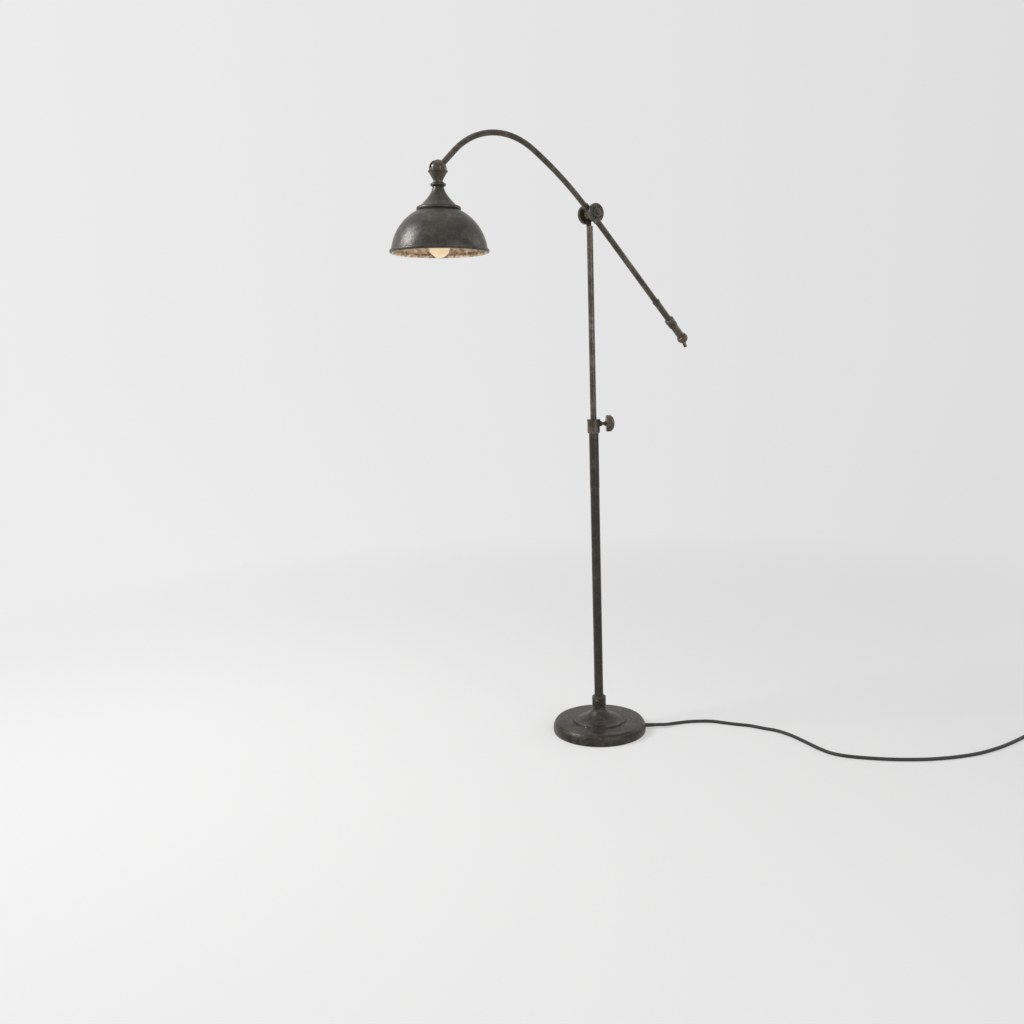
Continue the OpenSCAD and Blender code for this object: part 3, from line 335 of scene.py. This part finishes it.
def rubber(name, colour, grain=420.0, ribs=None):
    """A matt moulded skin; ribs gives the direction that fine ribs follow each other in."""
    m = Mat(name)
    fine = m.noise(grain, detail=3.0)
    tint = m.ramp(fine, [(0.3, shaded(colour, 0.7)), (0.75, shaded(colour, 1.35))])
    m.set(base_color=tint, roughness=m.spread(fine, 0.45, 0.62))
    relief = m.bump(fine, FINE_RELIEF, strength=0.35)
    if ribs:
        along = m.vector_math("DOT_PRODUCT", m.coord, ribs, "Value")
        wave = m.math("SINE", m.math("MULTIPLY", along, 2 * math.pi / RIB_PITCH))
        ridge = m.range(wave, -0.2, 0.6, 0.0, 1.0)
        relief = m.bump(ridge, distance=0.0007, strength=0.8, normal=relief)
    m.normal(relief)
    return m


def felt():
    m = Mat("felt")
    fibre = m.noise(900.0, detail=5.0, rough=0.75, distortion=1.2)
    tint = m.ramp(fibre, [(0.3, srgb(26, 26, 26)), (0.7, srgb(62, 61, 60))])
    m.set(base_color=tint, roughness=0.95, sheen_weight=0.25)
    m.normal(m.bump(fibre, distance=0.0006, strength=0.8))
    return m


def moulded(name, dark, light, rough):
    m = Mat(name)
    fine = m.noise(180.0, detail=3.0)
    gloss = m.spread(fine, rough * 0.85, rough * 1.15)
    m.set(base_color=m.ramp(fine, [(0.3, dark), (0.7, light)]), roughness=gloss)
    m.normal(m.bump(fine, FINE_RELIEF, strength=0.2))
    return m


def bulb():
    """A lit frosted bulb: warm white with an amber mottle."""
    m = Mat("frosted_bulb")
    cells = m.voronoi(210.0)
    cloud = m.noise(60.0, rough=0.6, distortion=0.4)
    amber = m.range(cells, 0.15, 0.6, 0.0, 0.75)
    glow = m.mix(amber, srgb(246, 226, 190), srgb(224, 186, 134))
    glow = m.layer(glow, srgb(252, 240, 214), cloud, 0.38, 0.68, 0.6)
    m.set(base_color=(*srgb(150, 132, 104), 1.0), roughness=0.35, emission_color=glow,
          emission_strength=0.72)
    m.normal(m.bump(cells, distance=0.0003, strength=0.3))
    return m


steel_mat = plain_metal("zinc_steel", srgb(168, 168, 166), 0.35)
screw_mat = plain_metal("dark_screw", srgb(84, 80, 76), 0.42, 0.8)
brass_mat = plain_metal("brass", srgb(196, 162, 96), 0.3)
cord_mat = rubber("cord_rubber", srgb(34, 32, 29))
plug_mat = rubber("plug_rubber", srgb(32, 31, 29), ribs=CORD_END_WAY)
plastic_mat = rubber("black_plastic", srgb(40, 39, 38), 700.0)
felt_mat = felt()
nylon_mat = moulded("nylon", srgb(196, 193, 184), srgb(216, 213, 204), 0.45)
ceramic_mat = moulded("ceramic", srgb(222, 218, 206), srgb(238, 235, 226), 0.22)
bulb_mat = bulb()

USES = {
    base_mat: ["base_casting", "base_socket"],
    pole_mat: ["lower_tube", "pole_sleeve"],
    stem_mat: ["clamp_collar", "clamp_knob", "upper_tube"],
    arm_mat: ["pole_head", "far_cap", "near_cap", "cap_buttons", "arm_hub", "arm_tube",
              "tail_tube", "tail_ring", "switch_collar", "switch_barrel", "arm_tongue",
              "swivel_ball", "swivel_cup"],
    key_mat: ["switch_key"],
    shade_mat: ["neck_ring", "fitter", "shade"],
    screw_mat: ["socket_screw", "clamp_screw", "pivot_bolt", "hub_screws", "swivel_screw"],
    steel_mat: ["bottom_cover", "cover_screws", "base_nipple", "nipple_washer", "nipple_nut",
                "shade_nipple", "nipple_lock", "bulb_base"],
    brass_mat: ["clamp_pad", "friction_washers", "socket_contact", "key_shaft", "plug_blades"],
    cord_mat: ["strain_relief", "base_lead", "pole_lead", "cord_run", "cord_coil"],
    plug_mat: ["plug_body"],
    plastic_mat: ["switch_core", "shade_ring"],
    felt_mat: ["felt_pad"],
    nylon_mat: ["guide_bush"],
    ceramic_mat: ["lamp_socket"],
    bulb_mat: ["bulb_glass"],
}
for material, names in USES.items():
    for name in names:
        slots = nodes[name].data.materials
        slots.clear()
        slots.append(material.mat)

# ------------------------------------------------------------------ cord
# The same route as in the part's source: it leaves the strain relief, sinks to the floor and then
# lies on it. In metres, apart from the points on the floor.
CORD_R, CORD_D = 0.00475, 0.0095
OUT = (0.1575, 0.0, 0.0095)
DROP = [OUT, (0.1735, 0, 0.0095), (0.1915, 0.002, 0.0085), (0.2155, 0.012, 0.00675)]
FLOOR_MM = [
    (245, 24), (285, 29), (330, 25), (362, 11), (396, -5), (432, -19), (467, -43), (499, -64),
    (526, -98), (550, -144), (572, -192), (596, -230), (628, -253), (675, -270), (735, -284),
    (800, -291), (860, -290), (920, -281), (980, -264), (1040, -236), (1090, -206),
    (1140, -171), (1187.2, -135.6), (1200, -126)]
SPAN_STEPS, TURN_STEPS, TAIL_STEPS = 6, 60, 3

# The coil winds in for TURNS turns, climbs onto itself in CLIMB of a turn and winds out again
COIL_DIR = Vector(CORD_END_WAY)
TO_CENTRE = (0.6, -0.8, 0.0)
COIL_R, STEP, TURNS, CLIMB = 0.062, 0.0105, 2, 0.5
TOTAL = 2 * TURNS + CLIMB
COIL_START = Vector((FLOOR_MM[-1][0] / 1000.0, FLOOR_MM[-1][1] / 1000.0, 0)) + COIL_DIR * CORD_D
COIL_CENTRE = COIL_START + Vector(TO_CENTRE) * COIL_R
START_ANGLE = math.atan2(-TO_CENTRE[1], -TO_CENTRE[0])
TAIL, PLUG_Z = 0.062, 0.015             # from the coil's end to the plug, and the plug's height


def spline(points, i, t):
    """A Catmull-Rom curve's point in the span after point i."""
    a, b = points[max(i - 1, 0)], points[i]
    c, d = points[i + 1], points[min(i + 2, len(points) - 1)]
    return (2 * b + (c - a) * t + (2 * a - 5 * b + 4 * c - d) * t * t
            + (3 * b - a - 3 * c + d) * t ** 3) * 0.5


def coil_point(t):
    """The coil's centre line after t turns."""
    angle = START_ANGLE - 2 * math.pi * t
    r = COIL_R - STEP * min(t, TOTAL - t)
    climb = min(max((t - TURNS) / CLIMB, 0.0), 1.0)
    return Vector((COIL_CENTRE.x + r * math.cos(angle), COIL_CENTRE.y + r * math.sin(angle),
                   CORD_R + STEP * (0.5 - 0.5 * math.cos(math.pi * climb))))


route = [Vector(p) for p in DROP + [(x / 1000.0, y / 1000.0, CORD_R) for x, y in FLOOR_MM]]
path = []
for i in range(len(route) - 1):
    for k in range(SPAN_STEPS):
        point = spline(route, i, k / SPAN_STEPS)
        point.z = max(point.z, CORD_R)
        path.append(point)
path.append(route[-1])
path += [coil_point(i / TURN_STEPS) for i in range(int(TURN_STEPS * TOTAL) + 1)]
last = path[-1]
for k in range(1, TAIL_STEPS + 1):
    s = k / TAIL_STEPS
    lifted = Vector((last.x, last.y, last.z + (PLUG_Z - last.z) * s))
    path.append(lifted - COIL_DIR * ((TAIL - CORD_D) * s))
path.append(Vector((last.x, last.y, PLUG_Z)) - COIL_DIR * TAIL)

curve = bpy.data.curves.new("cord", "CURVE")
curve.dimensions = "3D"
curve.bevel_depth = CORD_R
curve.bevel_resolution = 5
curve.use_fill_caps = True
line = curve.splines.new("POLY")
line.points.add(len(path) - 1)
for spot, place in zip(line.points, path):
    spot.co = (*place, 1.0)
line.use_smooth = True
cord = bpy.data.objects.new("mains_cord", curve)
scene.collection.objects.link(cord)
cord.data.materials.append(cord_mat.mat)
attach(cord, "base_and_lower_pole")
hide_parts("cord_run", "cord_coil")

# ------------------------------------------------------------------ floor
# A wide floor that meets the world's own pale colour, greyer towards +X: painted shade of the
# light that falls from the left. Seen rays get that colour, half of it near the lamp, so that the
# lamp's shadow stays on the floor.
# Painted light and shade on the backdrop: lighter on the left, where the light comes from, greyer
# on the right
LIT_PALE_LEFT, SHADED_PALE_RIGHT = srgb(237, 237, 237), srgb(222, 222, 222)
PAPER = srgb(242, 241, 240)
SIDE_FROM, SIDE_TO = -0.5, 0.5          # the sideways share of a direction, from left to right
FLOOR_R, FLOOR_CORNERS = 90, 128
NEAR, FAR = 0.6, 3.2                    # where the seen colour starts to grow, and is whole
MIDDLE = 1.2                            # softens the change from left to right at the lamp

floor_mesh = bpy.data.meshes.new("floor")
bm = bmesh.new()
angles = [2 * math.pi * k / FLOOR_CORNERS for k in range(FLOOR_CORNERS)]
bm.faces.new([bm.verts.new((FLOOR_R * math.cos(a), FLOOR_R * math.sin(a), 0)) for a in angles])
bm.to_mesh(floor_mesh)
bm.free()
floor = bpy.data.objects.new("floor", floor_mesh)
scene.collection.objects.link(floor)


def seen_rays(tree):
    """1 for the rays that see the background's own colour: the largest of three kinds."""
    rays = tree.nodes.new("ShaderNodeLightPath").outputs
    top = rays["Is Camera Ray"]
    for kind in ("Is Glossy Ray", "Is Transmission Ray"):
        most = tree.nodes.new("ShaderNodeMath")
        most.operation = "MAXIMUM"
        tree.links.new(top, most.inputs[0])
        tree.links.new(rays[kind], most.inputs[1])
        top = most.outputs[0]
    return top


fm = Mat("floor_paper")
place = fm.split()
from_lamp = fm.length(place[0], place[1])
side = fm.math("DIVIDE", place[0], fm.math("ADD", from_lamp, MIDDLE))
pale = fm.mix(fm.range(side, SIDE_FROM, SIDE_TO, 0.0, 1.0), LIT_PALE_LEFT, SHADED_PALE_RIGHT)
fm.set(base_color=(*PAPER, 1.0), roughness=0.9, specular_ior_level=0.1)
glow = fm.new("ShaderNodeEmission")
fm.link(pale, glow.inputs["Color"])
blend = fm.new("ShaderNodeMixShader")
share = fm.math("MULTIPLY", seen_rays(fm.tree), fm.range(from_lamp, NEAR, FAR, 0.5, 1.0))
fm.link(share, blend.inputs[0])
fm.link(fm.bsdf.outputs[0], blend.inputs[1])
fm.link(glow.outputs[0], blend.inputs[2])
fm.link(blend.outputs[0], fm.out.inputs["Surface"])
floor.data.materials.append(fm.mat)

# ------------------------------------------------------------------ world
SKY_LIGHT = 0.38

world = bpy.data.worlds.new("world")
scene.world = world
world.use_nodes = True
tree = world.node_tree
tree.nodes.clear()
out = tree.nodes.new("ShaderNodeOutputWorld")
# The seen colour runs from the lighter left to the greyer right: the same painted shade as on the
# floor
way = tree.nodes.new("ShaderNodeSeparateXYZ")
tree.links.new(tree.nodes.new("ShaderNodeTexCoord").outputs["Generated"], way.inputs[0])
tone = tree.nodes.new("ShaderNodeMapRange")
tone.inputs["From Min"].default_value = SIDE_FROM
tone.inputs["From Max"].default_value = SIDE_TO
tree.links.new(way.outputs[0], tone.inputs["Value"])
colour = tree.nodes.new("ShaderNodeMix")
colour.data_type = "RGBA"
tree.links.new(tone.outputs[0], colour.inputs[0])
colour.inputs[6].default_value = (*LIT_PALE_LEFT, 1.0)
colour.inputs[7].default_value = (*SHADED_PALE_RIGHT, 1.0)
seen = tree.nodes.new("ShaderNodeBackground")
tree.links.new(colour.outputs[2], seen.inputs["Color"])
seen.inputs["Strength"].default_value = 1.0
sky = tree.nodes.new("ShaderNodeBackground")
sky.inputs["Color"].default_value = (1.0, 1.0, 1.0, 1.0)
sky.inputs["Strength"].default_value = SKY_LIGHT
mix = tree.nodes.new("ShaderNodeMixShader")
tree.links.new(seen_rays(tree), mix.inputs[0])
tree.links.new(sky.outputs[0], mix.inputs[1])
tree.links.new(seen.outputs[0], mix.inputs[2])
tree.links.new(mix.outputs[0], out.inputs["Surface"])

# ------------------------------------------------------------------ lamps
# name, place, the height on the pole's axis that it aims at, width and height, watts
LIGHTS = [
    ("key", (-3.0, -0.6, 2.9), 1.0, (1.2, 1.5), 102),
    ("fill", (2.0, -3.2, 1.6), 1.1, (1.6, 1.8), 36),
    ("rim", (3.2, 0.9, 2.0), 1.0, (1.0, 2.2), 15),
    ("top", (0.2, -0.4, 4.2), 0.4, (2.6, 2.6), 10),
]
for name, spot, aim, size, power in LIGHTS:
    light = bpy.data.lights.new(name, "AREA")
    light.shape = "RECTANGLE"
    light.size, light.size_y = size
    light.energy = power
    lamp = bpy.data.objects.new(name, light)
    scene.collection.objects.link(lamp)
    lamp.location = spot
    to_aim = Vector((0, 0, aim)) - Vector(spot)
    lamp.rotation_euler = to_aim.to_track_quat("-Z", "Y").to_euler()

scene.view_settings.view_transform = "Standard"
